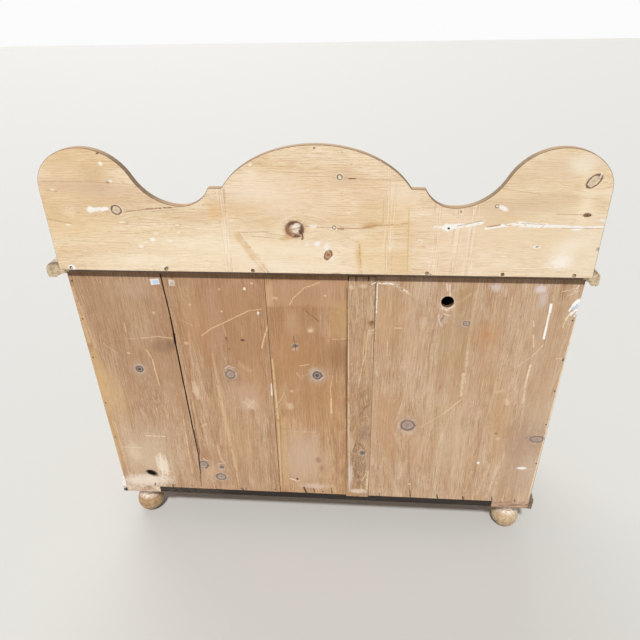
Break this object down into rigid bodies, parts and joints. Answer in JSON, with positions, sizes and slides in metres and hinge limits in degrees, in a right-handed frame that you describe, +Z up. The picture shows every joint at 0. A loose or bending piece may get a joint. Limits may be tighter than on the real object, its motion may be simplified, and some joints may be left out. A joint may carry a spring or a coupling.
{
  "type": "pine dresser base",
  "caption": "Low pine dresser base with a shaped three-lobed gallery, moulded top, drawers between panelled doors, plinth and turned ball feet.",
  "frame": {"origin": "bottom centre of the bounding box, on the floor under the feet", "axes": "+Z up, -Y out of the front with the doors and drawers, +Y out of the back boards, +X to the right seen from the front"},
  "size_m": [1.385, 0.5, 1.2487],
  "materials": {
    "gallery_pine": "bare, pale, waxed, with knots and smears of filler",
    "back_pine": "bare, dry, tan, with knots, stains and scratches",
    "top_pine": "waxed",
    "case_pine": "waxed",
    "turned_pine": "waxed, golden brown",
    "base_pine": "dark, worn, with old paint",
    "inside_pine": "bare",
    "brass": "dull",
    "iron": "dark, rusty"
  },
  "bodies": {
    "carcass": {"back_board_left": "back_pine", "back_board_middle": "back_pine", "back_board_right_end": "back_pine", "back_board_right_middle": "back_pine", "back_cover_strip": "back_pine", "back_nails": "iron", "back_rail_top": "back_pine", "base_blocks": "base_pine", "base_rail_back": "base_pine", "bottom_board": "inside_pine", "drawer_rails": "case_pine", "drawer_runners": "inside_pine", "foot_back_left": "turned_pine", "foot_back_right": "turned_pine", "foot_front_left": "turned_pine", "foot_front_right": "turned_pine", "front_muntins": "case_pine", "front_rail_bottom": "case_pine", "front_rail_top": "case_pine", "front_stiles": "case_pine", "gallery_board": "gallery_pine", "gallery_screws": "iron", "hinge_leaves_frame": "brass", "hinge_pins": "brass", "partitions": "inside_pine", "plinth": "base_pine", "shelf_bearers": "inside_pine", "shelves": "inside_pine", "side_panel_left": "case_pine", "side_panel_right": "case_pine", "top_board": "top_pine", "top_moulding": "top_pine"},
    "door_left": {"door_left_hinge_leaves": "brass", "door_left_panel": "case_pine", "door_left_rails": "case_pine", "door_left_stiles": "case_pine"},
    "catch_left": {"door_left_knob": "turned_pine", "door_left_latch": "inside_pine"},
    "door_right": {"door_right_hinge_leaves": "brass", "door_right_panel": "case_pine", "door_right_rails": "case_pine", "door_right_stiles": "case_pine"},
    "catch_right": {"door_right_knob": "turned_pine", "door_right_latch": "inside_pine"},
    "drawer_1": {"drawer_1_back": "inside_pine", "drawer_1_bottom": "inside_pine", "drawer_1_front": "case_pine", "drawer_1_knobs": "turned_pine", "drawer_1_sides": "inside_pine"},
    "drawer_2": {"drawer_2_back": "inside_pine", "drawer_2_bottom": "inside_pine", "drawer_2_front": "case_pine", "drawer_2_knobs": "turned_pine", "drawer_2_sides": "inside_pine"},
    "drawer_3": {"drawer_3_back": "inside_pine", "drawer_3_bottom": "inside_pine", "drawer_3_front": "case_pine", "drawer_3_knobs": "turned_pine", "drawer_3_sides": "inside_pine"}
  },
  "joints": [
    {"name": "door_left_hinge", "type": "hinge", "parent": "carcass", "child": "door_left", "pos_m": [-0.6145, -0.2117, 0.534], "axis": [0, 0, -1], "range_deg": [0, 170]},
    {"name": "door_right_hinge", "type": "hinge", "parent": "carcass", "child": "door_right", "pos_m": [0.5935, -0.2117, 0.534], "axis": [0, 0, 1], "range_deg": [0, 170]},
    {"name": "catch_left_turn", "type": "hinge", "parent": "door_left", "child": "catch_left", "pos_m": [-0.295, -0.197, 0.618], "axis": [0, -1, 0], "range_deg": [0, 90]},
    {"name": "catch_right_turn", "type": "hinge", "parent": "door_right", "child": "catch_right", "pos_m": [0.274, -0.197, 0.618], "axis": [0, 1, 0], "range_deg": [0, 90]},
    {"name": "drawer_1_slide", "type": "slide", "parent": "carcass", "child": "drawer_1", "axis": [0, -1, 0], "range_m": [0, 0.3]},
    {"name": "drawer_2_slide", "type": "slide", "parent": "carcass", "child": "drawer_2", "axis": [0, -1, 0], "range_m": [0, 0.3]},
    {"name": "drawer_3_slide", "type": "slide", "parent": "carcass", "child": "drawer_3", "axis": [0, -1, 0], "range_m": [0, 0.3]}
  ]
}
